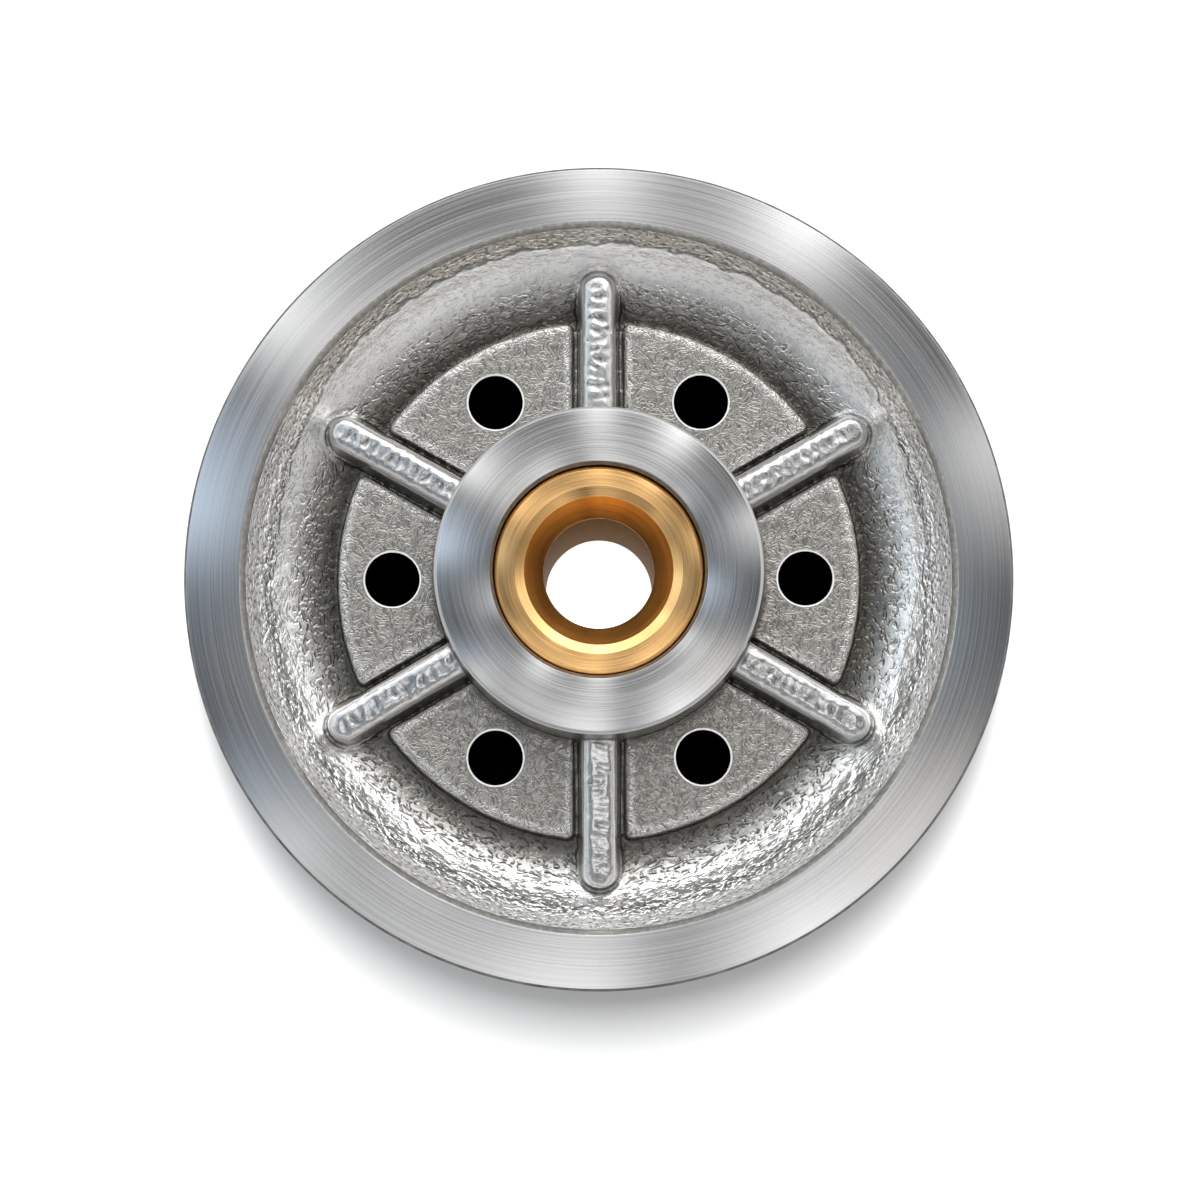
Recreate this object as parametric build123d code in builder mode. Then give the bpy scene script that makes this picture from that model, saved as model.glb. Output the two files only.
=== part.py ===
"""Wire rope pulley: a cast aluminium sheave wheel with a bronze bush in its hub.

Millimetres and degrees. The axis is Z, the mid-plane is Z = 0, and both sides are alike.
"""

from build123d import *
import math
import os

# Rim
wheel_diameter = 150.0
rim_width = 30.0
rim_face_width = 10.0  # the turned ring on each side, measured along the radius
rim_edge_chamfer = 0.5
rim_step = 1.0  # turned bevel between the side face and the cast dish

# Rope groove
rope_diameter = 10.0
groove_oversize = 0.3  # how much the groove's radius exceeds the rope's
groove_depth = 15.0
groove_flank_angle = 25.0  # of each flank, from the radius
groove_lip_fillet = 2.0

# Bush
shaft_diameter = 20.0
bush_wall = 9.0
bush_recess = 1.0  # below the hub's end face
bush_edge_chamfer = 0.5
lead_in_depth = 0.35
lead_in_length = 2.2
mouth_cone_width = 3.4
mouth_cone_depth = 4.7
mouth_bevel_width = 1.7
mouth_bevel_depth = 0.8

# Hub
hub_length = 45.0
hub_wall = 11.0
hub_draft = 1.5
hub_edge_chamfer = 0.6
hub_bore_chamfer = 0.6
hub_root_fillet = 1.5

# Web and dish
web_thickness = 7.0
dish_margin = 1.5  # flat web left outside the pads
dish_end_angle = 45.0  # of the dish's slope where the rim's inner wall starts, from the mid-plane
rim_wall_width = 2.0  # steep wall between the dish and the rim's bevel, measured along the radius
rim_wall_height = 4.5

# Pads between the ribs
pad_reach = 18.0  # from the hub to the pads' outer edge
pad_rise = 4.0  # above the web
pad_gap = 0.3  # between a pad's foot and a rib's foot
pad_draft = 5.0
pad_corner_radius = 1.5
pad_edge_fillet = 0.8

# Ribs
rib_count = 6
rib_width = 6.0  # across the top, before its edges are rounded
rib_rise = 5.5  # above the pads, at the hub
rib_overhang = 8.5  # past the pads' outer edge
rib_slope = 5.0
rib_draft = 7.0
rib_crown_fillet = 2.3

# Lightening holes
hole_diameter = 10.0
hole_circle_diameter = 75.5
hole_chamfer = 0.3

# Radii, from the axis outwards
shaft_radius = shaft_diameter / 2
bush_radius = shaft_radius + bush_wall
hub_radius = bush_radius + hub_wall
hub_core_radius = bush_radius + hub_wall / 2
pad_radius = hub_radius + pad_reach
hole_circle_radius = hole_circle_diameter / 2
hole_radius = hole_diameter / 2
dish_start_radius = pad_radius + dish_margin
wheel_radius = wheel_diameter / 2
rim_face_radius = wheel_radius - rim_face_width
rim_wall_radius = rim_face_radius - rim_step
dish_end_radius = rim_wall_radius - rim_wall_width
groove_root_radius = wheel_radius - groove_depth
groove_radius = rope_diameter / 2 + groove_oversize

# Heights above the mid-plane
hub_half = hub_length / 2
rim_half = rim_width / 2
web_half = web_thickness / 2
pad_top = web_half + pad_rise
rib_top = pad_top + rib_rise
bush_half = hub_half - bush_recess

# Plan of the pads at the mid-plane: a ring, parted where the ribs pass. The pads rise out of the web
# with drafted walls, and reach their stated size at its surface.
rib_pitch = 360 / rib_count
rib_foot_half = rib_width / 2 + (rib_top - web_half) * math.tan(math.radians(rib_draft))
pad_spread = web_half * math.tan(math.radians(pad_draft))

with BuildSketch() as pad_ring:
    Circle(pad_radius + pad_spread)
    Circle(hub_core_radius, mode=Mode.SUBTRACT)
    with PolarLocations(0, rib_count, start_angle=rib_pitch / 2):
        Rectangle(
            2 * pad_radius,
            2 * (rib_foot_half + pad_gap - pad_spread),
            align=(Align.MIN, Align.CENTER),
            mode=Mode.SUBTRACT,
        )
    outer_corners = pad_ring.vertices().filter_by(lambda v: v.center().length > hub_radius)
    fillet(outer_corners, pad_corner_radius + pad_spread)

# The pad that lies on X, its outer edges rounded
with BuildPart() as pad:
    extrude(pad_ring.sketch.faces().sort_by(Axis.X)[-1], amount=pad_top, taper=pad_draft)
    pad_edges = pad.faces().sort_by(Axis.Z)[-1].edges()
    fillet(pad_edges.filter_by(lambda e: e.center().length > hub_radius), pad_edge_fillet)

# One rib, lying along X: a bar with a round end, sloping down from the hub
rib_tip_radius = pad_radius + rib_overhang
rib_plane = Plane.XY.offset(rib_top).move(Location((hub_radius, 0, 0), (0, rib_slope, 0)))

with BuildPart() as rib:
    with BuildSketch(rib_plane):
        tip_centre = rib_tip_radius - rib_width / 2 - hub_radius
        SlotCenterPoint(((tip_centre - hub_wall / 2) / 2, 0), (tip_centre, 0), rib_width)
    extrude(amount=-(rib_top - web_half), taper=-rib_draft)
    fillet(rib.faces().sort_by(Axis.Z)[-1].edges(), min(rib_crown_fillet, 0.42 * rib_width))

# The casting, turned on its rim, hub ends and bore
hub_face_radius = hub_radius - (hub_half - web_half) * math.tan(math.radians(hub_draft))
dish_end_height = rim_half - rim_step - rim_wall_height
dish_rise = dish_end_height - web_half
dish_bend_radius = dish_end_radius - dish_rise / math.tan(math.radians(dish_end_angle))
flank = math.radians(groove_flank_angle)
flank_foot_radius = groove_root_radius + groove_radius * (1 - math.sin(flank))
flank_foot_half = groove_radius * math.cos(flank)
lip_half = flank_foot_half + (wheel_radius - flank_foot_radius) * math.tan(flank)

with BuildPart() as sheave_wheel:
    with BuildSketch(Plane.XZ):
        with BuildLine():
            hub_end = Polyline(
                (bush_radius, 0),
                (bush_radius, hub_half - hub_bore_chamfer),
                (bush_radius + hub_bore_chamfer, hub_half),
                (hub_face_radius - hub_edge_chamfer, hub_half),
                (hub_face_radius, hub_half - hub_edge_chamfer),
            )
            web_side = FilletPolyline(
                hub_end @ 1,
                (hub_radius, web_half),
                (dish_start_radius, web_half),
                radius=hub_root_fillet,
            )
            dish = Bezier(
                web_side @ 1,
                (dish_bend_radius, web_half),
                (dish_end_radius, dish_end_height),
            )
            rim_side = Polyline(
                dish @ 1,
                (rim_wall_radius, rim_half - rim_step),
                (rim_face_radius, rim_half),
                (wheel_radius - rim_edge_chamfer, rim_half),
                (wheel_radius, rim_half - rim_edge_chamfer),
            )
            groove_lip = FilletPolyline(
                rim_side @ 1,
                (wheel_radius, lip_half),
                (flank_foot_radius, flank_foot_half),
                radius=groove_lip_fillet,
            )
            groove_root = RadiusArc(groove_lip @ 1, (groove_root_radius, 0), groove_radius)
            Line(groove_root @ 1, hub_end @ 0)
        make_face()
        mirror(about=Plane.XZ)
    revolve(axis=Axis.Z)
    with PolarLocations(0, rib_count):
        add(pad.part)
    with PolarLocations(0, rib_count, start_angle=rib_pitch / 2):
        add(rib.part)
    split(bisect_by=Plane.XY, keep=Keep.TOP)
    mirror(about=Plane.XY)
    with PolarLocations(hole_circle_radius, rib_count):
        Hole(hole_radius)
    hole_rims = sheave_wheel.edges().filter_by(GeomType.CIRCLE)
    hole_rims = hole_rims.filter_by(lambda e: abs(e.radius - hole_radius) < hole_chamfer)
    chamfer(hole_rims, hole_chamfer)

# Bronze bush, pressed into the hub from either end
mouth_radius = shaft_radius + mouth_cone_width
bevel_radius = mouth_radius + mouth_bevel_width
cone_top = bush_half - mouth_bevel_depth
lead_in_radius = bush_radius - lead_in_depth

with BuildPart() as bronze_bush:
    with BuildSketch(Plane.XZ):
        with BuildLine():
            Polyline(
                (shaft_radius, 0),
                (shaft_radius, cone_top - mouth_cone_depth),
                (mouth_radius, cone_top),
                (bevel_radius, bush_half),
                (lead_in_radius - bush_edge_chamfer, bush_half),
                (lead_in_radius, bush_half - bush_edge_chamfer),
                (bush_radius, bush_half - bush_edge_chamfer - lead_in_length),
                (bush_radius, 0),
                close=True,
            )
        make_face()
        mirror(about=Plane.XZ)
    revolve(axis=Axis.Z)

os.makedirs("parts", exist_ok=True)
sheave_wheel.part.label = "sheave_wheel"
export_step(sheave_wheel.part, "parts/sheave_wheel.step")
bronze_bush.part.label = "bronze_bush"
export_step(bronze_bush.part, "parts/bronze_bush.step")
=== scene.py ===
import itertools
import math

import bmesh
import bpy
import numpy as np
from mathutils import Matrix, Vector


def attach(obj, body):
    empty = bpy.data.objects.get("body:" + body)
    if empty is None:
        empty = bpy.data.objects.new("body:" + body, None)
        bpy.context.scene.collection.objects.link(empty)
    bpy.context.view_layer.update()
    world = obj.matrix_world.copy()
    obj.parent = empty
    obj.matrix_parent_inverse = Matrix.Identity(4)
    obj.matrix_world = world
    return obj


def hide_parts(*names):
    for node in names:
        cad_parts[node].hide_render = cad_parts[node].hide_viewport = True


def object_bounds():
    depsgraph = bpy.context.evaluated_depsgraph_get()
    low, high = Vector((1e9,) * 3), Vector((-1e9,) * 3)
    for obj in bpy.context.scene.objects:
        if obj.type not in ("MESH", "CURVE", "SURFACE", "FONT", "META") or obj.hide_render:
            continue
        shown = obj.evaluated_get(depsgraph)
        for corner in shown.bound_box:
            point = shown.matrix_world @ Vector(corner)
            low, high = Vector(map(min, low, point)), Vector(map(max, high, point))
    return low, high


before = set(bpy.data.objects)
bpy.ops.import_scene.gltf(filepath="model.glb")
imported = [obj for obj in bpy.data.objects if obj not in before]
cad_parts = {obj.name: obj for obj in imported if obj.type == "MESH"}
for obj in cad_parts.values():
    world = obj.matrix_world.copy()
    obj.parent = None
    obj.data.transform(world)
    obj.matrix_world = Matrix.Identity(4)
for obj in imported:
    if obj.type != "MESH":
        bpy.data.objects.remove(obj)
cad_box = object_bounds()
wheel_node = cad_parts["sheave_wheel"]
scene = bpy.context.scene
MM = 0.001

# Sizes of the part, in millimetres and degrees
RIM_RADIUS = 75.0
RIM_HALF = 15.0
RIM_FACE_RADIUS = 65.0  # where the side face ends inwards
RIM_CHAMFER = 0.5
RIM_STEP = 1.0  # the bevel between the side face and the dish
GROOVE_CENTRE = 65.3
GROOVE_RADIUS = 5.3
GROOVE_FLANK = 25.0
GROOVE_MOUTH_HALF = 10.37
GROOVE_LIP_RADIUS = 2.0
HUB_RADIUS = 30.0
HUB_HALF = 22.5
HUB_END_RADIUS = 29.54
HUB_CHAMFER = 0.6
BUSH_RADIUS = 19.0
BUSH_HALF = 21.5
BUSH_CHAMFER = 0.5
LEAD_IN_DEPTH = 0.35
LEAD_IN_LENGTH = 2.2
BORE_RADIUS = 10.0
MOUTH_RADIUS = 13.4
MOUTH_DEPTH = 4.7
MOUTH_BEVEL_RADIUS = 15.1
MOUTH_BEVEL_DEPTH = 0.8
PAD_TOP = 7.5
RIB_COUNT = 6
RIB_PITCH = 60
RIB_TIP = 56.5
RIB_HALF = 3.0
RIB_FOOT_HALF = 4.0
RIB_TOP = 13.0
RIB_SLOPE = 5.0
HOLE_CIRCLE = 37.75
HOLE_RADIUS = 5.0
HOLE_CHAMFER = 0.3
HOLE_TURNS = [math.radians(RIB_PITCH * k) for k in range(RIB_COUNT)]

# The cast meshes: their grain in metres and how many triangles are left of them
UPPER_VOXEL = 0.00034
LOWER_VOXEL = 0.00055
UPPER_TRIANGLES = 192000
LOWER_TRIANGLES = 110000

# Columns round each turned form
ENVELOPE_COLUMNS = 360
RIM_COLUMNS = 512
HUB_COLUMNS = 384
HOLE_COLUMNS = 96

# Zones of the cast skin: where each starts and where it is full. Radii and heights are in millimetres.
ABOVE_WEB = (4.4, 5.4)
OFF_HUB = (29.3, 30.3)
RIB_FOOT = (-0.15, 0.35)  # outwards from the foot of a rib
CROWN_EDGE = (2.3, 3.1)  # outwards from the middle of a rib
CROWN_TOP = (-2.6, -1.6)  # upwards to the top of a rib
SHOWN_HEIGHT = (2.4, 3.2)
SHOWN_HUB = (28.6, 29.2)
SHOWN_RIM = (63.4, 64.0)
DISH_START = (48.6, 50.5)
CALM_START = (54.5, 57.5)  # the paler, smoother slope of the dish
SHADE_LEVEL = (52.5, 55.5)  # where the dish's shading stops bending round the ribs' tips
CRUMPLE_START = (52, 56)
FOIL_START = (55, 59)  # the crumpled skin of the dish's lower side
BAND_START = (61.7, 62.2)  # the rough border under the rim
FILLET_REACH = (0.0, 1.5)  # outwards from the foot of a rib
UPPER_SIDE = (0.15, 0.75)  # as y over the radius
LOWER_SIDE = (-0.7, 0.3)

# Heights of the skin's relief, in millimetres
WAVE_HEIGHT = 0.05
WRINKLE_HEIGHT = 0.10
CRUMPLE_HEIGHT = 0.05
FOIL_HEIGHT = 0.13
BAND_HEIGHT = 0.26
BAND_DEPTH = 0.08
FILLET_HEIGHT = 0.35
PAD_HEIGHT = 0.035
CROWN_HEIGHT = 0.04


# Mesh helpers

def new_object(name, mesh):
    obj = bpy.data.objects.new(name, mesh)
    scene.collection.objects.link(obj)
    return obj


def evaluated_mesh(obj, name):
    graph = bpy.context.evaluated_depsgraph_get()
    mesh = bpy.data.meshes.new_from_object(obj.evaluated_get(graph))
    mesh.name = name
    return mesh


def add_modifier(obj, kind, **settings):
    modifier = obj.modifiers.new(kind.lower(), kind)
    for key, value in settings.items():
        setattr(modifier, key, value)


def triangle_count(mesh):
    return sum(len(face.vertices) - 2 for face in mesh.polygons)


def get_vectors(collection, prop, count):
    values = np.zeros(count * 3)
    collection.foreach_get(prop, values)
    return values.reshape(-1, 3)


def get_integers(collection, prop):
    values = np.zeros(len(collection), np.int32)
    collection.foreach_get(prop, values)
    return values


def mirrored(section):
    """A section's mirror image across the mid-plane, running the same way round."""
    return [(r, -z, *size) for r, z, *size in reversed(section)]


def rounded(section, radius, steps):
    """A closed section in millimetres with each corner rounded; a corner is (r, z) or (r, z, radius)."""
    points = []
    count = len(section)
    for i in range(count):
        here = np.array(section[i][:2], float)
        before = np.array(section[i - 1][:2], float)
        after = np.array(section[(i + 1) % count][:2], float)
        size = section[i][2] if len(section[i]) > 2 else radius
        to_before = before - here
        to_after = after - here
        length_before = np.linalg.norm(to_before)
        length_after = np.linalg.norm(to_after)
        to_before /= length_before
        to_after /= length_after
        cosine = float(np.clip(to_before @ to_after, -1, 1))
        half = math.acos(cosine) / 2
        if size <= 0 or half > math.radians(89.5):
            points.append(here)
            continue
        setback = min(size / math.tan(half), 0.45 * length_before, 0.45 * length_after)
        start = here + to_before * setback
        end = here + to_after * setback
        for k in range(steps + 1):
            t = k / steps
            points.append((1 - t) ** 2 * start + 2 * t * (1 - t) * here + t ** 2 * end)
    return points


def lathe(name, section, columns):
    """A closed ring, turned from a closed section that runs counterclockwise in (r, z), in millimetres."""
    section = np.array(section, float)
    rows = len(section)
    angle = np.arange(columns) * 2 * math.pi / columns
    co = np.zeros((columns, rows, 3))
    co[:, :, 0] = np.cos(angle)[:, None] * section[None, :, 0]
    co[:, :, 1] = np.sin(angle)[:, None] * section[None, :, 0]
    co[:, :, 2] = section[None, :, 1]
    co *= MM
    i, j = np.meshgrid(np.arange(columns), np.arange(rows), indexing="ij")
    i2, j2 = (i + 1) % columns, (j + 1) % rows
    corners = [i * rows + j, i2 * rows + j, i2 * rows + j2, i * rows + j2]
    faces = np.stack(corners, axis=-1).reshape(-1, 4)
    mesh = bpy.data.meshes.new(name)
    mesh.from_pydata(co.reshape(-1, 3).tolist(), [], faces.tolist())
    mesh.shade_smooth()
    return new_object(name, mesh)


# Seeded gradient noise

def gradient_noise(points, seed):
    rng = np.random.default_rng(seed)
    order = np.tile(rng.permutation(256), 2)
    gradients = rng.normal(size=(256, 3))
    gradients /= np.linalg.norm(gradients, axis=1)[:, None]
    cell = np.floor(points).astype(int)
    local = points - cell
    fade = local ** 3 * (local * (local * 6 - 15) + 10)
    cell &= 255
    total = np.zeros(len(points))
    for corner in itertools.product((0, 1), repeat=3):
        index = order[(cell[:, 0] + corner[0]) & 255]
        index = order[index + ((cell[:, 1] + corner[1]) & 255)]
        index = order[index + ((cell[:, 2] + corner[2]) & 255)]
        offset = local - np.array(corner)
        weight = np.prod(np.where(np.array(corner) == 1, fade, 1 - fade), axis=1)
        total += weight * np.einsum("ij,ij->i", gradients[index], offset)
    return total * 1.6


def fractal_noise(points, seed, octaves, gain=0.5):
    total = np.zeros(len(points))
    scale, weight = 1.0, 1.0
    for k in range(octaves):
        total += weight * gradient_noise(points * scale, seed + k)
        scale *= 2.03
        weight *= gain
    return total


def smoothstep(low, high, value):
    t = np.clip((value - low) / (high - low), 0, 1)
    return t * t * (3 - 2 * t)


# The cast body: the frame's own wheel, cut to its cast part, remeshed and given its skin

def cast_half(name, side, voxel):
    """One side of the casting; side is 1 for the upper half and -1 for the lower."""
    source = wheel_node.data.copy()
    bm = bmesh.new()
    bm.from_mesh(source)
    bmesh.ops.remove_doubles(bm, verts=bm.verts, dist=1e-6)
    bm.to_mesh(source)
    bm.free()
    body = new_object(name + "_source", source)
    # the cast part lies between the turned hub and the turned rim
    section = [
        (26.5, -0.6), (58.5, -0.6), (58.5, 4.0), (64.5, 8.5), (66.0, 14.0),
        (63.95, 14.0), (63.95, 21.8), (26.5, 21.8),
    ]
    envelope = lathe(name + "_envelope", section if side > 0 else mirrored(section), ENVELOPE_COLUMNS)
    add_modifier(body, "BOOLEAN", operation="INTERSECT", solver="MANIFOLD", object=envelope)
    mesh = evaluated_mesh(body, name + "_cut")
    # the holes are plugged here and cut again when the skin is done
    plug_radius, plug_length, plug_height = 5.6, 8.0, 3.5
    bm = bmesh.new()
    bm.from_mesh(mesh)
    for t in HOLE_TURNS:
        made = bmesh.ops.create_cone(
            bm, cap_ends=True, segments=48, radius1=plug_radius * MM, radius2=plug_radius * MM,
            depth=plug_length * MM,
        )
        bmesh.ops.translate(
            bm, verts=made["verts"],
            vec=(HOLE_CIRCLE * MM * math.cos(t), HOLE_CIRCLE * MM * math.sin(t), side * plug_height * MM),
        )
    bm.to_mesh(mesh)
    bm.free()
    filled = new_object(name + "_filled", mesh)
    add_modifier(filled, "REMESH", mode="VOXEL", voxel_size=voxel)
    add_modifier(filled, "SMOOTH", factor=0.5, iterations=3)
    mesh = evaluated_mesh(filled, name)
    for obj in (body, envelope, filled):
        bpy.data.objects.remove(obj)
    return mesh


def neighbour_mean(values, first, second, degree, rounds):
    """Each vertex moved to the mean of itself and its neighbours, a number of times."""
    for _ in range(rounds):
        total = np.empty_like(values)
        for k in range(values.shape[1]):
            total[:, k] = np.bincount(first, values[second, k], len(values))
            total[:, k] += np.bincount(second, values[first, k], len(values))
        values = 0.5 * values + 0.5 * total / degree
    return values


def rib_places(co):
    """How far along its nearest rib each point lies, how far across, signed, and the rib's number."""
    radius = np.hypot(co[:, 0], co[:, 1])
    theta = np.degrees(np.arctan2(co[:, 1], co[:, 0]))
    off = (theta - RIB_PITCH / 2) % RIB_PITCH
    off = np.radians(np.where(off > RIB_PITCH / 2, off - RIB_PITCH, off))
    number = np.floor(((theta + 360) % 360) / RIB_PITCH).astype(int)
    return radius * np.cos(off), radius * np.sin(off), number


def dents(along, across, number, seed):
    """The shallow overlapping dents that run down the crown of each rib."""
    rng = np.random.default_rng(seed)
    depth = np.zeros(len(along))
    for rib in range(RIB_COUNT):
        at = HUB_RADIUS + 1.0
        mine = number == rib
        while at < RIB_TIP - 1.5:
            for middle, size, deep in (
                (rng.normal(0.1, 0.35), rng.uniform(1.2, 1.9), rng.uniform(0.18, 0.34)),
                (rng.choice((-1, 1)) * rng.uniform(1.3, 2.1), rng.uniform(0.6, 1.2), rng.uniform(0.08, 0.16)),
            ):
                turned = rng.uniform(-0.4, 0.4)
                run = along[mine] - at - turned * (across[mine] - middle)
                near = (run / (0.75 * size)) ** 2 + ((across[mine] - middle) / size) ** 2
                depth[mine] = np.minimum(depth[mine], -deep * np.clip(1 - near, 0, 1))
            at += rng.uniform(1.3, 2.3)
    return depth


def skin(mesh, seed):
    """Moves the vertices along their normals by the casting's relief, and stores what the material needs."""
    count = len(mesh.vertices)
    co = get_vectors(mesh.vertices, "co", count) / MM
    normal = get_vectors(mesh.vertex_normals, "vector", count)
    edges = np.zeros(len(mesh.edges) * 2, np.int64)
    mesh.edges.foreach_get("vertices", edges)
    first, second = edges[0::2], edges[1::2]
    degree = (np.bincount(first, minlength=count) + np.bincount(second, minlength=count))[:, None]
    radius = np.hypot(co[:, 0], co[:, 1])
    height = np.abs(co[:, 2])
    around = co[:, :2] / radius[:, None]
    # how hollow each spot lies, which the material uses for painted shade in hollows and painted highlights
    # on edges
    soft = neighbour_mean(co, first, second, degree, 60)
    hollow = np.einsum("ij,ij->i", soft - co, normal)

    # where the ribs stand
    along, across, number = rib_places(co)
    from_middle = np.hypot(np.maximum(along - (RIB_TIP - RIB_HALF), 0), across)
    apart = from_middle - RIB_FOOT_HALF
    top_here = RIB_TOP - (along - HUB_RADIUS) * math.tan(math.radians(RIB_SLOPE))
    rib = (1 - smoothstep(*RIB_FOOT, apart)) * smoothstep(*ABOVE_WEB, height) * smoothstep(*OFF_HUB, radius)
    crown = rib * (1 - smoothstep(*CROWN_EDGE, from_middle)) * smoothstep(*CROWN_TOP, height - top_here)

    # what shows: the side away from the mid-plane, inside the rim and outside the hub
    shown = smoothstep(*SHOWN_HEIGHT, height) * (1 - smoothstep(*SHOWN_RIM, radius))
    shown *= smoothstep(*SHOWN_HUB, radius)
    dish = smoothstep(*DISH_START, radius) * (1 - rib)
    calm = smoothstep(*CALM_START, radius)
    foil = smoothstep(*FOIL_START, radius) * (1 - smoothstep(*LOWER_SIDE, around[:, 1]))
    # the border under the rim is narrow at the top, and its edge is ragged
    upper = smoothstep(*UPPER_SIDE, around[:, 1])
    border = radius + 0.55 * gradient_noise(co / 2.6, seed + 7) + 0.35 * gradient_noise(co / 0.9, seed + 8)
    border += 2.2 * (1 - upper) * (1 + 0.5 * gradient_noise(co / 8.0, seed + 9)) - 0.15 * upper
    band = smoothstep(*BAND_START, border)
    calm = calm * (1 - band)

    # slow waviness of the whole skin
    relief = WAVE_HEIGHT * fractal_noise(co / 6.0, seed, 2)
    # the dish's wrinkles are drawn out round the axis, and pass round the ribs' tips
    bend = 3.2 * np.exp(-np.maximum(apart, 0) / 1.6)
    run = radius + 0.8 * height - bend
    # the place along the dish where the material lays its painted shade and painted light
    shade = radius + 0.8 * height - 0.6 * bend * (1 - smoothstep(*SHADE_LEVEL, radius))
    wander = run + 0.9 * gradient_noise(co / 3.2, seed + 11)
    drawn = np.column_stack([around * 20.0, wander / 1.15])
    wrinkle = 0.45 - np.abs(fractal_noise(drawn, seed + 20, 2, 0.5))
    relief += dish * WRINKLE_HEIGHT * wrinkle * (1 - 0.6 * calm)
    # the crumpled slope, strongest on the lower side
    crumple = 0.5 - np.abs(fractal_noise(co / 2.6 + 0.6 * around[:, [0, 1, 0]], seed + 80, 3, 0.5))
    relief += dish * crumple * (CRUMPLE_HEIGHT * smoothstep(*CRUMPLE_START, radius) + FOIL_HEIGHT * foil)
    # the border's lumps, sunk a little under the dish
    lumps = 0.4 - np.abs(fractal_noise(co / 1.4, seed + 60, 2, 0.6))
    relief += band * dish * (BAND_HEIGHT * lumps - BAND_DEPTH - BAND_DEPTH * upper)
    # the fillet at the foot of each rib
    relief += dish * FILLET_HEIGHT * (1 - smoothstep(*FILLET_REACH, apart)) ** 2
    crown_grain = CROWN_HEIGHT * fractal_noise(co / 1.1, seed + 41, 2)
    relief += crown * (dents(along, across, number, seed + 40) + crown_grain)
    pads = (1 - dish) * (1 - rib)
    relief += pads * PAD_HEIGHT * fractal_noise(co / 1.3, seed + 50, 2, 0.6)
    co += normal * (relief * shown)[:, None]
    fine = np.einsum("ij,ij->i", neighbour_mean(co, first, second, degree, 4) - co, normal)
    mesh.vertices.foreach_set("co", (co * MM).reshape(-1))
    mesh.update()
    for name, values in (
        ("hollow", hollow), ("fine", fine), ("crown", crown), ("rib", rib), ("run", run), ("border", border),
        ("apart", apart), ("shade", shade), ("upper", upper),
    ):
        stored = mesh.attributes.new(name, "FLOAT", "POINT")
        stored.data.foreach_set("value", values.astype(np.float32))


def thinned(mesh, name, triangles):
    """The mesh with fewer faces where it is plain, down to a number of triangles."""
    obj = new_object(name + "_full", mesh)
    add_modifier(obj, "DECIMATE", ratio=min(1.0, triangles / triangle_count(mesh)))
    made = evaluated_mesh(obj, name)
    bpy.data.objects.remove(obj)
    made.shade_smooth()
    return made


def cut_holes(obj, side):
    """Bores the lightening holes, with a turned edge, and gives edge and wall their materials."""
    far = 24.0
    above = 0.12  # how far the edge's cone runs on over the pad
    edge_radius = HOLE_RADIUS + HOLE_CHAMFER + above
    section = [
        (HOLE_RADIUS, -far), (HOLE_RADIUS, PAD_TOP - HOLE_CHAMFER),
        (edge_radius, PAD_TOP + above), (edge_radius, far),
    ]
    rows = len(section)
    wound = 1 if side > 0 else -1
    verts, faces = [], []
    centres = [(HOLE_CIRCLE * math.cos(t), HOLE_CIRCLE * math.sin(t)) for t in HOLE_TURNS]
    for x, y in centres:
        start = len(verts)
        for i in range(HOLE_COLUMNS):
            t = 2 * math.pi * i / HOLE_COLUMNS
            for r, z in section:
                verts.append(((x + r * math.cos(t)) * MM, (y + r * math.sin(t)) * MM, side * z * MM))
        for i in range(HOLE_COLUMNS):
            here, beside = start + i * rows, start + (i + 1) % HOLE_COLUMNS * rows
            for k in range(rows - 1):
                faces.append((here + k, beside + k, beside + k + 1, here + k + 1)[::wound])
        bottom = [start + i * rows for i in range(HOLE_COLUMNS)]
        top = [start + i * rows + rows - 1 for i in range(HOLE_COLUMNS)]
        faces.append(bottom[::-wound])
        faces.append(top[::wound])
    mesh = bpy.data.meshes.new("hole_cutter")
    mesh.from_pydata(verts, [], faces)
    cutter = new_object("hole_cutter", mesh)
    add_modifier(obj, "BOOLEAN", operation="DIFFERENCE", solver="MANIFOLD", object=cutter)
    mesh = evaluated_mesh(obj, obj.name)
    obj.modifiers.clear()
    obj.data = mesh
    bpy.data.objects.remove(cutter)
    # the wall lies on the hole's radius, and the edge is tilted
    count = len(mesh.polygons)
    middle = get_vectors(mesh.polygons, "center", count) / MM
    away = np.min([np.hypot(middle[:, 0] - x, middle[:, 1] - y) for x, y in centres], axis=0)
    tilted = np.abs(get_vectors(mesh.polygons, "normal", count)[:, 2]) < 0.88
    on_wall = away < HOLE_RADIUS + 0.002
    on_edge = (away < edge_radius + 0.01) & tilted
    part = np.where(on_wall, 2, np.where(on_edge, 1, 0)).astype(np.int32)
    # the hole wall's material is near black: painted shade
    mesh.materials.clear()
    for material in (cast_skin, turned_edge, hole_wall):
        mesh.materials.append(material)
    mesh.polygons.foreach_set("material_index", part)
    mesh.update()


def part_borders(mesh):
    """Sharpens each edge between two faces of unlike material."""
    part = get_integers(mesh.polygons, "material_index")
    part = np.repeat(part, get_integers(mesh.polygons, "loop_total"))
    edge = get_integers(mesh.loops, "edge_index")
    lowest = np.full(len(mesh.edges), len(mesh.materials), np.int32)
    highest = np.zeros(len(mesh.edges), np.int32)
    np.minimum.at(lowest, edge, part)
    np.maximum.at(highest, edge, part)
    sharp = np.zeros(len(mesh.edges), bool)
    mesh.edges.foreach_get("use_edge_sharp", sharp)
    mesh.edges.foreach_set("use_edge_sharp", sharp | (lowest != highest))
    mesh.update()


# Turned parts of the casting, and the bush

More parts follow.
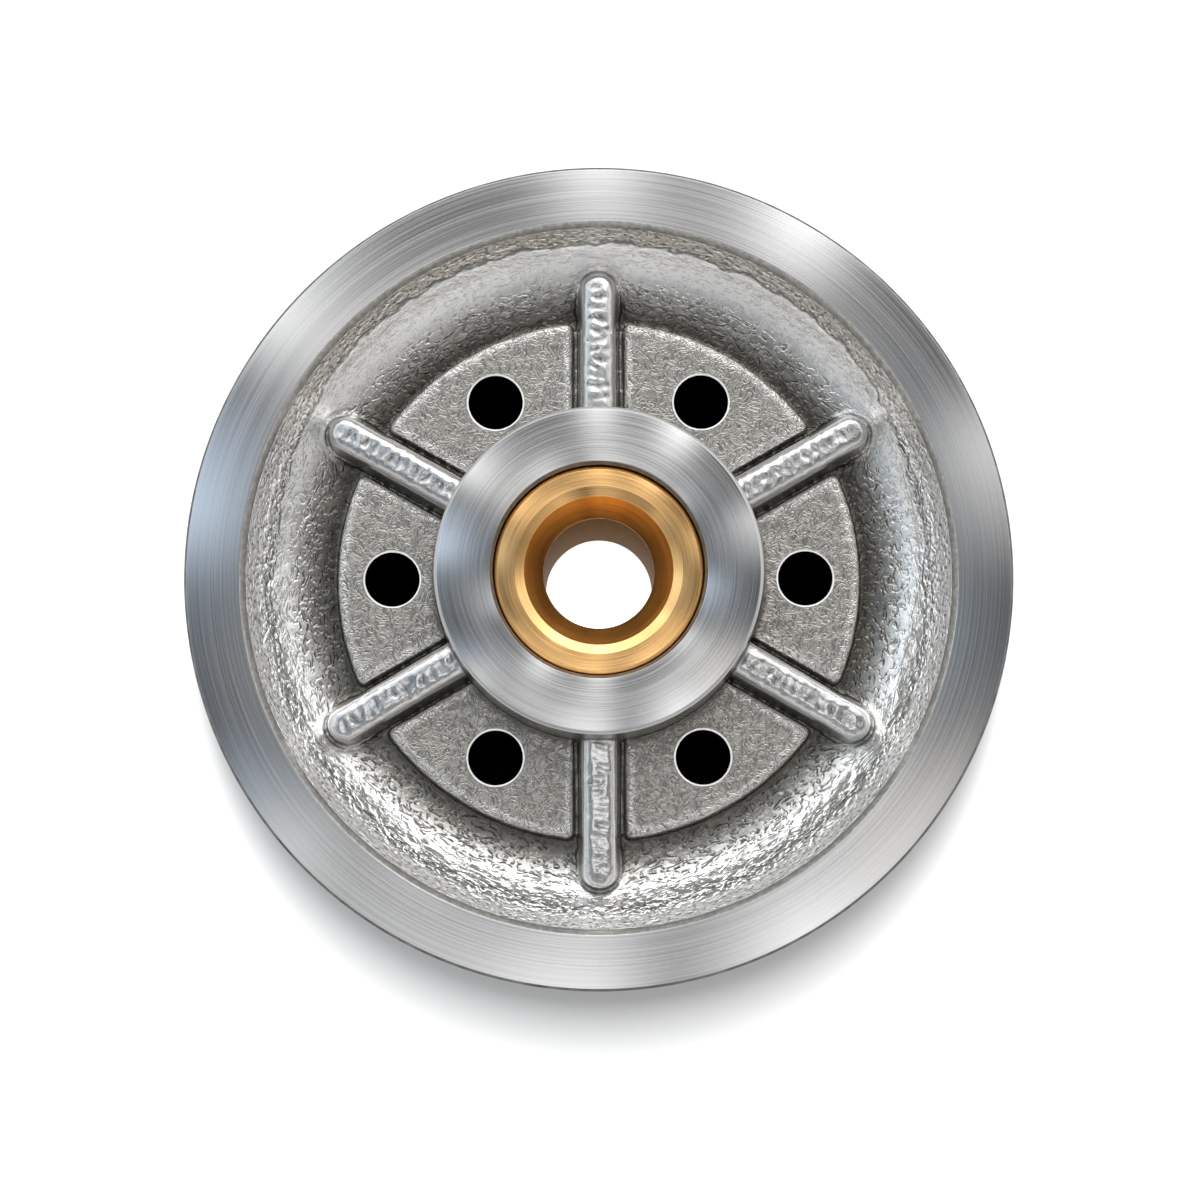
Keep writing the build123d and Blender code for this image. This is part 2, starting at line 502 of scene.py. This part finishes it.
def groove_section(steps=40):
    """The rope groove's round root, from its upper flank to its lower one."""
    start, end = math.radians(90 + GROOVE_FLANK), math.radians(270 - GROOVE_FLANK)
    turns = [start + (end - start) * k / steps for k in range(steps + 1)]
    return [(GROOVE_CENTRE + GROOVE_RADIUS * math.cos(t), GROOVE_RADIUS * math.sin(t)) for t in turns]


# The frame's own mesh has flat facets, and the rim stays a hair inside its box
OUTER = min(abs(value) for corner in cad_box for value in corner[:2]) / MM - 0.003
EDGE = 0.12  # how much the turned edges are rounded
UNDER = 0.07  # how far the rim's bevel runs on under the cast skin
# Each section runs inwards from the outside, and its bare numbers are points hidden in the casting
rim_side = [
    (OUTER, GROOVE_MOUTH_HALF, GROOVE_LIP_RADIUS),
    (OUTER, RIM_HALF - RIM_CHAMFER, EDGE),
    (RIM_RADIUS - RIM_CHAMFER, RIM_HALF, EDGE),
    (RIM_FACE_RADIUS, RIM_HALF, EDGE),
    (RIM_FACE_RADIUS - RIM_STEP - UNDER, RIM_HALF - RIM_STEP - UNDER, 0),
    (63.4, 8.0),
    (58.8, 3.2),
]
hub_side = [
    (29.3, 21.0, 0),
    (HUB_END_RADIUS, HUB_HALF - HUB_CHAMFER),
    (HUB_END_RADIUS - HUB_CHAMFER, HUB_HALF),
    (BUSH_RADIUS + HUB_CHAMFER, HUB_HALF),
    (BUSH_RADIUS, HUB_HALF - HUB_CHAMFER),
]
bush_side = [
    (BUSH_RADIUS, BUSH_HALF - BUSH_CHAMFER - LEAD_IN_LENGTH, 0),
    (BUSH_RADIUS - LEAD_IN_DEPTH, BUSH_HALF - BUSH_CHAMFER, EDGE),
    (BUSH_RADIUS - LEAD_IN_DEPTH - BUSH_CHAMFER, BUSH_HALF, EDGE),
    (MOUTH_BEVEL_RADIUS, BUSH_HALF, 0.1),
    (MOUTH_RADIUS, BUSH_HALF - MOUTH_BEVEL_DEPTH, EDGE),
    (BORE_RADIUS, BUSH_HALF - MOUTH_BEVEL_DEPTH - MOUTH_DEPTH, 0.4),
]
rim_section = rounded(mirrored(rim_side), 0.0, 6) + groove_section()[::-1] + rounded(rim_side, 0.0, 6)
turned_rim = lathe("turned_rim", rim_section, RIM_COLUMNS)
turned_hub = lathe("turned_hub", rounded(mirrored(hub_side) + hub_side, 0.1, 3), HUB_COLUMNS)
bush = lathe("bush", rounded(mirrored(bush_side) + bush_side, 0.1, 3), HUB_COLUMNS)


# Shader nodes

def connect(tree, value, socket):
    """Links a socket's value, or sets it."""
    if isinstance(value, bpy.types.NodeSocket):
        tree.links.new(value, socket)
    else:
        socket.default_value = value


def node(tree, kind, inputs=None, **settings):
    made = tree.nodes.new(kind)
    for key, value in settings.items():
        setattr(made, key, value)
    for key, value in (inputs or {}).items():
        connect(tree, value, made.inputs[key])
    return made


def math_node(tree, operation, a, b=None, clamp=False):
    inputs = {0: a} if b is None else {0: a, 1: b}
    return node(tree, "ShaderNodeMath", inputs, operation=operation, use_clamp=clamp).outputs[0]


def times(tree, *factors):
    """The product of the factors."""
    product = factors[0]
    for factor in factors[1:]:
        product = math_node(tree, "MULTIPLY", product, factor)
    return product


def rest_of(tree, share):
    """One less the share."""
    return math_node(tree, "SUBTRACT", 1.0, share)


def half_up(tree, value):
    """A value from -1 to 1 brought to 0 to 1."""
    return math_node(tree, "ADD", times(tree, value, 0.5), 0.5)


def vector_node(tree, operation, a, b=None):
    inputs = {0: a} if b is None else {0: a, 1: b}
    return node(tree, "ShaderNodeVectorMath", inputs, operation=operation).outputs


def plus(tree, a, b):
    """The sum of two vectors or two colours."""
    return vector_node(tree, "ADD", a, b)[0]


def scaled(tree, vector, amount):
    return node(tree, "ShaderNodeVectorMath", {0: vector, "Scale": amount}, operation="SCALE").outputs[0]


def component(tree, vector, axis):
    return node(tree, "ShaderNodeSeparateXYZ", {0: vector}).outputs[axis]


def mix_float(tree, factor, a, b):
    return node(tree, "ShaderNodeMix", {0: factor, 2: a, 3: b}, data_type="FLOAT").outputs[0]


def mix_colour(tree, factor, a, b, blend="MIX"):
    a, b = ((*value, 1) if isinstance(value, tuple) else value for value in (a, b))
    made = node(tree, "ShaderNodeMix", {0: factor, 6: a, 7: b}, data_type="RGBA", blend_type=blend)
    return made.outputs[2]


def map_range(tree, value, low, high, to_low=0.0, to_high=1.0):
    """A soft step from to_low to to_high, where the value goes from low to high."""
    made = node(tree, "ShaderNodeMapRange", interpolation_type="SMOOTHSTEP")
    for key, number in (
        ("Value", value), ("From Min", low), ("From Max", high), ("To Min", to_low), ("To Max", to_high),
    ):
        connect(tree, number, made.inputs[key])
    return made.outputs["Result"]


def ramp(tree, factor, stops, interpolation="LINEAR"):
    """A colour ramp; each stop is a place and a colour or a grey."""
    made = tree.nodes.new("ShaderNodeValToRGB")
    made.color_ramp.interpolation = interpolation
    elements = made.color_ramp.elements
    while len(elements) < len(stops):
        elements.new(0.5)
    for element, (position, colour) in zip(elements, stops):
        element.position = position
        element.color = (*colour, 1) if isinstance(colour, tuple) else (colour, colour, colour, 1)
    tree.links.new(factor, made.inputs[0])
    return made.outputs[0]


def noise_at(tree, vector, scale, detail=2.0, roughness=0.5, distortion=0.0):
    made = node(tree, "ShaderNodeTexNoise", {
        "Vector": vector, "Scale": scale, "Detail": detail, "Roughness": roughness, "Distortion": distortion,
    }, noise_type="FBM")
    return made.outputs["Fac"]


def attribute(tree, name):
    return node(tree, "ShaderNodeAttribute", attribute_name=name).outputs["Fac"]


def add_bump(tree, shader, height, distance):
    bump = node(tree, "ShaderNodeBump", {"Height": height, "Strength": 1.0, "Distance": distance})
    tree.links.new(bump.outputs[0], shader.inputs["Normal"])


def new_material(name):
    material = bpy.data.materials.new(name)
    material.use_nodes = True
    tree = material.node_tree
    shader = tree.nodes["Principled BSDF"]
    return material, tree, shader


def radius_and_turn(tree):
    """Object position in millimetres, its radius, and a seamless direction."""
    place = scaled(tree, node(tree, "ShaderNodeTexCoord").outputs["Object"], 1000.0)
    flat = vector_node(tree, "MULTIPLY", place, (1, 1, 0))[0]
    return place, vector_node(tree, "LENGTH", flat)["Value"], vector_node(tree, "NORMALIZE", flat)[0]


# Materials

def worm_lines(tree, vector, scale, steepness, detail, distortion):
    """Height of a skin of low plates with sharp winding valleys between them, 0 to 1."""
    noise = noise_at(tree, vector, scale, detail, 0.5, distortion)
    folded = math_node(tree, "ABSOLUTE", math_node(tree, "SUBTRACT", noise, 0.5))
    return math_node(tree, "MULTIPLY", folded, steepness, clamp=True)


def cast_creases(tree, place, turn, run, dish):
    """The skin's grain: winding ridges on the pads, drawn-out creases in the dish."""
    curls = times(tree, noise_at(tree, place, 0.45, 2.0, 0.5, 1.0), 6.5)
    curls = times(tree, math_node(tree, "PINGPONG", curls, 0.5), 2.0)
    broken = map_range(tree, noise_at(tree, place, 0.7, 1.0), 0.3, 0.5, 0.6, 1.0)
    pad_grain = mix_float(tree, broken, 0.6, curls)
    drawn = plus(tree, scaled(tree, turn, 30.0), node(tree, "ShaderNodeCombineXYZ", {"Z": run}).outputs[0])
    breaks = map_range(tree, noise_at(tree, place, 0.9, 1.0), 0.40, 0.55, 0.2, 1.0)
    dish_grain = mix_float(tree, breaks, 1.0, worm_lines(tree, drawn, 0.62, 8.0, 0.8, 0.9))
    return mix_float(tree, dish, pad_grain, dish_grain)


def cast_material():
    """The cast skin: grey pads, a dish with painted shade low down and painted light up its slope, lighter
    ribs and a rough border under the rim, with painted shade in its hollows and painted highlights on its
    edges.
    """
    material, tree, shader = new_material("cast_aluminium_skin")
    place, radius, turn = radius_and_turn(tree)
    hollow, fine, crown, rib, run, border, apart, shade, upper = (
        attribute(tree, name)
        for name in ("hollow", "fine", "crown", "rib", "run", "border", "apart", "shade", "upper")
    )
    off_rib = rest_of(tree, rib)
    band = map_range(tree, border, 61.75, 62.15)
    calm = times(tree, map_range(tree, radius, *CALM_START), rest_of(tree, band))
    dish = map_range(tree, radius, 47.3, 48.8)

    # fine relief
    creased = cast_creases(tree, place, turn, run, dish)
    smooth_grain = noise_at(tree, place, 1.3, 3.0, 0.55)
    smoothed = times(tree, calm, mix_float(tree, upper, 0.6, 0.75))
    grain = mix_float(tree, smoothed, creased, smooth_grain)
    grain = mix_float(tree, rib, grain, times(tree, smooth_grain, 0.35))
    depth = mix_float(tree, dish, 0.4, mix_float(tree, calm, 0.9, 0.5))
    pores = noise_at(tree, place, 4.5, 2.0, 0.6)
    relief = math_node(tree, "ADD", times(tree, grain, depth), times(tree, pores, 0.10))
    add_bump(tree, shader, relief, 0.00018)

    # the pads' even grey, and the dish's, which has painted shade low down and painted light up its slope
    wide = noise_at(tree, place, 0.16, 3.0, 0.6)
    colour = mix_colour(tree, wide, (0.285, 0.272, 0.252), (0.405, 0.389, 0.363))
    patchy = math_node(tree, "SUBTRACT", noise_at(tree, place, 0.35, 3.0, 0.6), 0.5)
    shading_place = math_node(tree, "ADD", shade, times(tree, patchy, 4.0))
    span = math_node(tree, "DIVIDE", math_node(tree, "SUBTRACT", shading_place, 50.0), 20.0)
    dish_shade_and_light = ramp(tree, span, [
        (0.0, (0.10, 0.094, 0.082)), (0.12, (0.16, 0.153, 0.138)), (0.24, (0.27, 0.262, 0.244)),
        (0.38, (0.50, 0.49, 0.47)), (0.50, (0.74, 0.733, 0.72)), (0.60, (0.86, 0.858, 0.85)),
    ])
    # painted shade: the low dish darker on its upper side and its flanks than at the bottom
    shaded_side = map_range(tree, component(tree, turn, "Y"), -0.8, 0.2)
    shaded = times(tree, shaded_side, map_range(tree, shade, 61.0, 50.0))
    dish_shade_and_light = mix_colour(tree, shaded, dish_shade_and_light, (0.38, 0.37, 0.355), "MULTIPLY")
    colour = mix_colour(tree, dish, colour, dish_shade_and_light)
    # the rough border under the rim, with painted shade: brownish at the top, and a dark painted shadow along
    # its lip, strongest at the top
    band_colour = mix_colour(tree, upper, (0.77, 0.765, 0.75), (0.76, 0.705, 0.63))
    colour = mix_colour(tree, times(tree, band, 0.85), colour, band_colour)
    lip_shadow = times(tree, map_range(tree, border, 61.5, 61.8), map_range(tree, border, 62.2, 61.9))
    lip_shadow = times(tree, lip_shadow, mix_float(tree, upper, 0.15, 0.75))
    colour = mix_colour(tree, lip_shadow, colour, (0.12, 0.11, 0.10))
    # the ribs and their crowns; the upper ribs' crowns are darker, as painted shade
    colour = mix_colour(tree, rib, colour, (0.60, 0.592, 0.58))
    crown_colour = mix_colour(tree, upper, (0.60, 0.60, 0.598), (0.46, 0.46, 0.458))
    colour = mix_colour(tree, crown, colour, crown_colour)
    # painted highlights on the convex edges, and painted shade in the hollows, in the cove by the pads and in
    # the creases
    edge = times(tree, map_range(tree, hollow, -0.04, -0.16), off_rib)
    colour = mix_colour(tree, times(tree, edge, 0.6), colour, (0.66, 0.645, 0.62))
    hollow_shade = times(
        tree, map_range(tree, hollow, 0.04, 0.7), map_range(tree, radius, 51.5, 49.5, 0.1, 0.75),
        mix_float(tree, rib, 1.0, 0.35), map_range(tree, apart, 0.2, 1.8, 0.75, 1.0),
    )
    colour = mix_colour(tree, hollow_shade, colour, (0.05, 0.047, 0.04))
    crease_shade = times(
        tree, rest_of(tree, map_range(tree, creased, 0.0, 0.5)), off_rib,
        rest_of(tree, times(tree, calm, 0.65)), mix_float(tree, dish, 0.6, 0.7),
        mix_float(tree, band, 1.0, 0.6),
    )
    colour = mix_colour(tree, crease_shade, colour, (0.10, 0.095, 0.085))
    fine_crease_shade = times(tree, map_range(tree, fine, 0.005, 0.05), 0.6)
    colour = mix_colour(tree, fine_crease_shade, colour, (0.12, 0.115, 0.10))
    # a painted highlight on the smooth fillet round each rib's foot
    fillet_highlight = times(
        tree, map_range(tree, apart, 0.1, 0.4), map_range(tree, apart, 1.5, 0.9),
        map_range(tree, radius, 52.0, 54.5), 0.6,
    )
    colour = mix_colour(tree, fillet_highlight, colour, (0.62, 0.60, 0.57))
    tree.links.new(colour, shader.inputs["Base Color"])

    # the border is duller than the bare metal, and the crowns are smoother
    metallic = mix_float(tree, dish, 0.94, 0.97)
    metallic = mix_float(tree, map_range(tree, radius, 60.8, 62.0), metallic, 0.66)
    tree.links.new(mix_float(tree, rib, metallic, 0.97), shader.inputs["Metallic"])
    rough = mix_float(tree, pores, 0.18, 0.28)
    rough = mix_float(tree, calm, rough, mix_float(tree, upper, 0.17, 0.26))
    rough = mix_float(tree, crown, rough, 0.15)
    rough = mix_float(tree, times(tree, band, 0.8), rough, 0.26)
    tree.links.new(rough, shader.inputs["Roughness"])
    return material


def turned_material(name, colour, roughness, anisotropy, metallic=1.0):
    """Metal brushed in circles about the axis, with fine turning lines."""
    material, tree, shader = new_material(name)
    place, radius, turn = radius_and_turn(tree)
    across = math_node(tree, "ADD", radius, component(tree, place, "Z"))
    rings = node(tree, "ShaderNodeCombineXYZ", {"Z": across}).outputs[0]
    lines = plus(tree, scaled(tree, turn, 0.22), rings)
    fine = noise_at(tree, lines, 4.0, 2.0, 0.6)
    dark = tuple(0.87 * c for c in colour)
    light = tuple(min(1.05 * c, 1.0) for c in colour)
    tree.links.new(ramp(tree, fine, [(0.36, dark), (0.64, light)]), shader.inputs["Base Color"])
    shader.inputs["Metallic"].default_value = metallic
    rough = ramp(tree, fine, [(0.3, roughness * 0.85), (0.7, roughness * 1.15)])
    tree.links.new(rough, shader.inputs["Roughness"])
    shader.inputs["Anisotropic"].default_value = anisotropy
    shader.inputs["Anisotropic Rotation"].default_value = 0.25
    tangent = node(tree, "ShaderNodeTangent", direction_type="RADIAL", axis="Z")
    tree.links.new(tangent.outputs[0], shader.inputs["Tangent"])
    add_bump(tree, shader, fine, 0.000005)
    return material


def plain_metal(name, low, high, metallic, roughness, scale=0.8, grain=0.5, spread=0.2, relief=0.0):
    """A metal clouded between two colours."""
    material, tree, shader = new_material(name)
    place, radius, turn = radius_and_turn(tree)
    clouds = noise_at(tree, place, scale, 3.0, grain)
    colour = ramp(tree, clouds, [(0.5 - spread, low), (0.5 + spread, high)])
    tree.links.new(colour, shader.inputs["Base Color"])
    if relief > 0:
        add_bump(tree, shader, clouds, relief)
    shader.inputs["Metallic"].default_value = metallic
    shader.inputs["Roughness"].default_value = roughness
    return material


def wall_material():
    """The wall of the lightening holes, near black as painted shade."""
    material, tree, shader = new_material("hole_wall")
    place, radius, turn = radius_and_turn(tree)
    shade_mottle = noise_at(tree, place, 0.7, 2.0)
    tree.links.new(ramp(tree, shade_mottle, [(0.3, 0.002), (0.7, 0.006)]), shader.inputs["Base Color"])
    shader.inputs["Roughness"].default_value = 0.8
    shader.inputs["Specular IOR Level"].default_value = 0.0
    return material


def paint(obj, material, radii, heights):
    """Gives a material to the faces of a turned ring between two radii and two heights, in millimetres."""
    obj.data.materials.append(material)
    slot = len(obj.data.materials) - 1
    for face in obj.data.polygons:
        away = math.hypot(face.center.x, face.center.y) / MM
        if radii[0] < away < radii[1] and heights[0] <= abs(face.center.z) / MM < heights[1]:
            face.material_index = slot


cast_skin = cast_material()
turned_aluminium = turned_material("turned_aluminium", (0.62, 0.62, 0.62), 0.16, 1.0)
turned_edge = turned_material("turned_edge", (0.72, 0.72, 0.72), 0.35, 0.0, 0.3)
turned_bronze = turned_material("turned_bronze", (0.93, 0.56, 0.23), 0.19, 0.95)
# painted shade: the mouth of the bush a darker, deeper orange copy of the bronze
shaded_bronze_mouth = turned_material("shaded_bronze_mouth", (0.84, 0.41, 0.10), 0.22, 0.95)
hole_wall = wall_material()
# painted shade: the rim's outer chamfer near black, for the dark line round the rim
rim_edge_shade = plain_metal("rim_edge_shade", 0.10, 0.22, 1.0, 0.4, scale=0.4)
beige_bevel = plain_metal(
    "beige_bevel", (0.38, 0.368, 0.35), (0.60, 0.585, 0.56), 0.85, 0.35,
    scale=1.1, grain=0.6, spread=0.16, relief=0.0001,
)
# painted reflection: the hub's bore chamfer brown, as if it mirrored the bronze bush
bronze_reflection_ring = plain_metal("bronze_reflection_ring", (0.13, 0.105, 0.08), (0.22, 0.18, 0.14), 0.9, 0.35)
# painted shade: the bush's bore dark brown
shaded_bore_wall = plain_metal("shaded_bore_wall", (0.13, 0.095, 0.07), (0.19, 0.145, 0.11), 1.0, 0.4)
shaded_bore_wall.node_tree.nodes["Principled BSDF"].inputs["Specular Tint"].default_value = (0.36, 0.28, 0.22, 1)

cast_parts = []
for name, side, voxel, triangles, seed in (
    ("cast_upper", 1, UPPER_VOXEL, UPPER_TRIANGLES, 5),
    ("cast_lower", -1, LOWER_VOXEL, LOWER_TRIANGLES, 77),
):
    mesh = cast_half(name, side, voxel)
    skin(mesh, seed)
    obj = new_object(name, thinned(mesh, name, triangles))
    cut_holes(obj, side)
    obj.data.set_sharp_from_angle(angle=math.radians(40))
    part_borders(obj.data)
    print(name, len(obj.data.vertices), "vertices", triangle_count(obj.data), "triangles")
    cast_parts.append(obj)

for obj, material in ((turned_rim, turned_aluminium), (turned_hub, turned_aluminium), (bush, turned_bronze)):
    obj.data.materials.append(material)
# Rings painted apart: the rim's outer chamfer dark as painted shade, the rim's inner bevel beige, the hub's
# bore chamfer brown as a painted reflection of the bronze, and the bush's bore and mouth darker as painted
# shade
for obj, material, radii, heights in (
    (turned_rim, rim_edge_shade, (74.52, 74.97), (13.0, 16.0)),
    (turned_rim, beige_bevel, (63.95, 64.97), (13.0, 16.0)),
    (turned_hub, bronze_reflection_ring, (19.02, 19.58), (21.5, 23.0)),
    (bush, shaded_bore_wall, (9.9, 10.2), (0.0, 15.8)),
    (bush, shaded_bronze_mouth, (10.2, 13.35), (15.8, 20.65)),
):
    paint(obj, material, radii, heights)

for obj, node_name, slot in (
    (cast_parts[0], "sheave_wheel", "cast_aluminium"),
    (cast_parts[1], "sheave_wheel", "cast_aluminium"),
    (turned_rim, "sheave_wheel", "cast_aluminium"),
    (turned_hub, "sheave_wheel", "cast_aluminium"),
    (bush, "bronze_bush", "bronze"),
):
    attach(obj, "root")
    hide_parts(node_name)


# Floor: pale, with painted shade under the web, where it is near black and does not glow, and painted light
# under the bore, where it glows white

def floor_material():
    material, tree, shader = new_material("pale_floor")
    place, radius, turn = radius_and_turn(tree)
    shader.inputs["Roughness"].default_value = 1.0
    shader.inputs["Specular IOR Level"].default_value = 0.0
    path = node(tree, "ShaderNodeLightPath")
    seen = math_node(tree, "ADD", path.outputs["Is Camera Ray"], path.outputs["Is Glossy Ray"])
    seen = math_node(tree, "ADD", seen, path.outputs["Is Transmission Ray"], clamp=True)
    bore = 13.0
    outside = math_node(tree, "GREATER_THAN", radius, bore)
    # painted shade under the web: near black, with no glow
    shade_under_web = times(tree, outside, map_range(tree, radius, 60.0, 50.0))
    # painted light: under the bore the floor glows white
    inside = math_node(tree, "LESS_THAN", radius, bore)
    glow = math_node(tree, "ADD", times(tree, inside, 0.80), 0.16)
    strength = times(tree, seen, rest_of(tree, shade_under_web), glow)
    shader.inputs["Emission Color"].default_value = (1, 1, 1, 1)
    tree.links.new(strength, shader.inputs["Emission Strength"])
    tree.links.new(ramp(tree, shade_under_web, [(0.0, 0.5), (1.0, 0.0004)]), shader.inputs["Base Color"])
    return material


floor_mesh = bpy.data.meshes.new("floor")
far = 3.0
floor_mesh.from_pydata([(-far, -far, 0), (far, -far, 0), (far, far, 0), (-far, far, 0)], [], [(0, 1, 2, 3)])
floor = new_object("floor", floor_mesh)
floor.location.z = -HUB_HALF * MM
floor_mesh.materials.append(floor_material())

# Lamp: soft, over the top edge, so that the shadow falls below the wheel; the metal mirrors the world alone
lamp_tilt = math.radians(9)
lamp_away = 1.5
lamp_data = bpy.data.lights.new("key", "AREA")
lamp_data.shape = "RECTANGLE"
lamp_data.size = 0.16
lamp_data.size_y = 0.47
lamp_data.energy = 32.0
lamp = bpy.data.objects.new("key", lamp_data)
scene.collection.objects.link(lamp)
lamp.location = (0, lamp_away * math.sin(lamp_tilt), lamp_away * math.cos(lamp_tilt))
lamp.rotation_euler = (-lamp_tilt, 0, 0)
lamp.visible_glossy = False

# World: a ring of light strips high over the wheel, which the brushed metal draws out into fans. Each strip
# has its heading, in degrees from +X towards +Y, and its strength.
STRIPS = [
    (0, 0.0), (20, 1.35), (30, 0.05), (50, 0.0), (60, 2.5), (70, 0.35), (80, 0.0), (90, 1.9), (100, 0.0),
    (120, 0.0), (130, 0.65), (140, 1.95), (150, 0.0), (160, 0.85), (170, 1.5), (180, 0.17), (200, 0.0),
    (210, 0.55), (220, 1.25), (230, 0.6), (250, 0.85), (260, 1.45), (270, 1.6), (280, 0.25), (290, 1.1),
    (300, 1.95), (310, 1.35), (320, 1.1), (330, 0.75), (340, 0.17), (350, 0.0),
]
# Two soft boxes: heading, width, strength and colour
BOXES = [
    (82, 38, 2.5, (1, 1, 1)),
    (168, 24, 0.5, (0.80, 0.92, 1.0)),
]
# The strips meet a little towards +Y from straight above
STRIP_LEAN = math.atan(0.115)


def tint(at):
    """Cool light from the left, a little warmth from the lower right."""
    if 145 <= at <= 215:
        return (0.76, 0.90, 1.08)
    if 315 <= at <= 350:
        return (1.03, 0.99, 0.94)
    return (1.0, 1.0, 1.0)


def glow_toward(tree, heading, at, width):
    """A band of light over one heading, a number of degrees wide."""
    there = (math.cos(math.radians(at)), math.sin(math.radians(at)), 0)
    toward = vector_node(tree, "DOT_PRODUCT", heading, there)["Value"]
    sharpness = 1 / math.radians(width) ** 2
    return math_node(tree, "EXPONENT", times(tree, math_node(tree, "SUBTRACT", toward, 1.0), sharpness))


def light_world(world):
    """The light that comes from all round, with the strips, the boxes and the skirting."""
    world.use_nodes = True
    tree = world.node_tree
    direction = node(tree, "ShaderNodeTexCoord").outputs["Generated"]
    elevation = component(tree, direction, "Z")
    leaned = node(
        tree, "ShaderNodeVectorRotate", {"Vector": direction, "Angle": STRIP_LEAN}, rotation_type="X_AXIS",
    ).outputs[0]
    level = vector_node(tree, "MULTIPLY", leaned, (1, 1, 0))[0]
    from_top = vector_node(tree, "LENGTH", level)["Value"]
    heading = vector_node(tree, "NORMALIZE", level)[0]
    # a dim room, cooler on the left
    side = half_up(tree, component(tree, heading, "X"))
    light = ramp(tree, side, [(0.0, (0.034, 0.042, 0.052)), (1.0, (0.044, 0.041, 0.038))])
    # the ring of strips
    way = node(tree, "ShaderNodeSeparateXYZ", {0: leaned}).outputs
    turn = math_node(tree, "DIVIDE", math_node(tree, "ARCTAN2", way["Y"], way["X"]), 2 * math.pi)
    stops = []
    for at, strength in STRIPS:
        stops.append(((at + 180) % 360 / 360, tuple(strength * c for c in tint(at))))
    stops.sort()
    stops.append((1.0, stops[0][1]))
    ring = ramp(tree, math_node(tree, "ADD", turn, 0.5), stops)
    reach = ramp(tree, from_top, [(0.02, 0.1), (0.10, 1.0), (0.25, 1.3), (0.45, 0.3)])
    light = plus(tree, light, scaled(tree, ring, reach))
    # a spot of light at the top, and the walls
    light = plus(tree, light, ramp(tree, from_top, [(0.01, 0.2), (0.06, 0.0)], "EASE"))
    light = plus(tree, light, ramp(tree, elevation, [(0.42, 0.56), (0.72, 0.0)], "EASE"))
    # the soft boxes
    box_height = ramp(tree, elevation, [(0.30, 0.0), (0.40, 1.0), (0.84, 1.0), (0.93, 0.0)], "EASE")
    for at, width, strength, colour in BOXES:
        bright = tuple(strength * c for c in colour)
        box = times(tree, box_height, glow_toward(tree, heading, at, width))
        light = plus(tree, light, scaled(tree, bright, box))
    # near the floor: dim below the wheel, bright above it
    low = ramp(tree, elevation, [(0.10, 1.0), (0.25, 0.0)], "EASE")
    up = half_up(tree, component(tree, heading, "Y"))
    skirting = ramp(tree, up, [(0.25, 0.28), (0.75, 1.0)], "EASE")
    light = mix_colour(tree, low, light, skirting)
    background = tree.nodes["Background"]
    tree.links.new(light, background.inputs["Color"])
    background.inputs["Strength"].default_value = 1.0


scene.world = bpy.data.worlds.new("studio")
light_world(scene.world)

# Camera: over the wheel and a little below it in the picture
camera_data = bpy.data.cameras.new("camera")
camera_data.lens = 104.9
camera_data.sensor_width = 36
camera = bpy.data.objects.new("camera", camera_data)
scene.collection.objects.link(camera)
camera.location = (0, -0.0739, 0.6423)
target = Vector((0.00021, -0.00307, 0))
camera.rotation_euler = (target - camera.location).to_track_quat("-Z", "Y").to_euler()
scene.camera = camera
scene.view_settings.view_transform = "Standard"
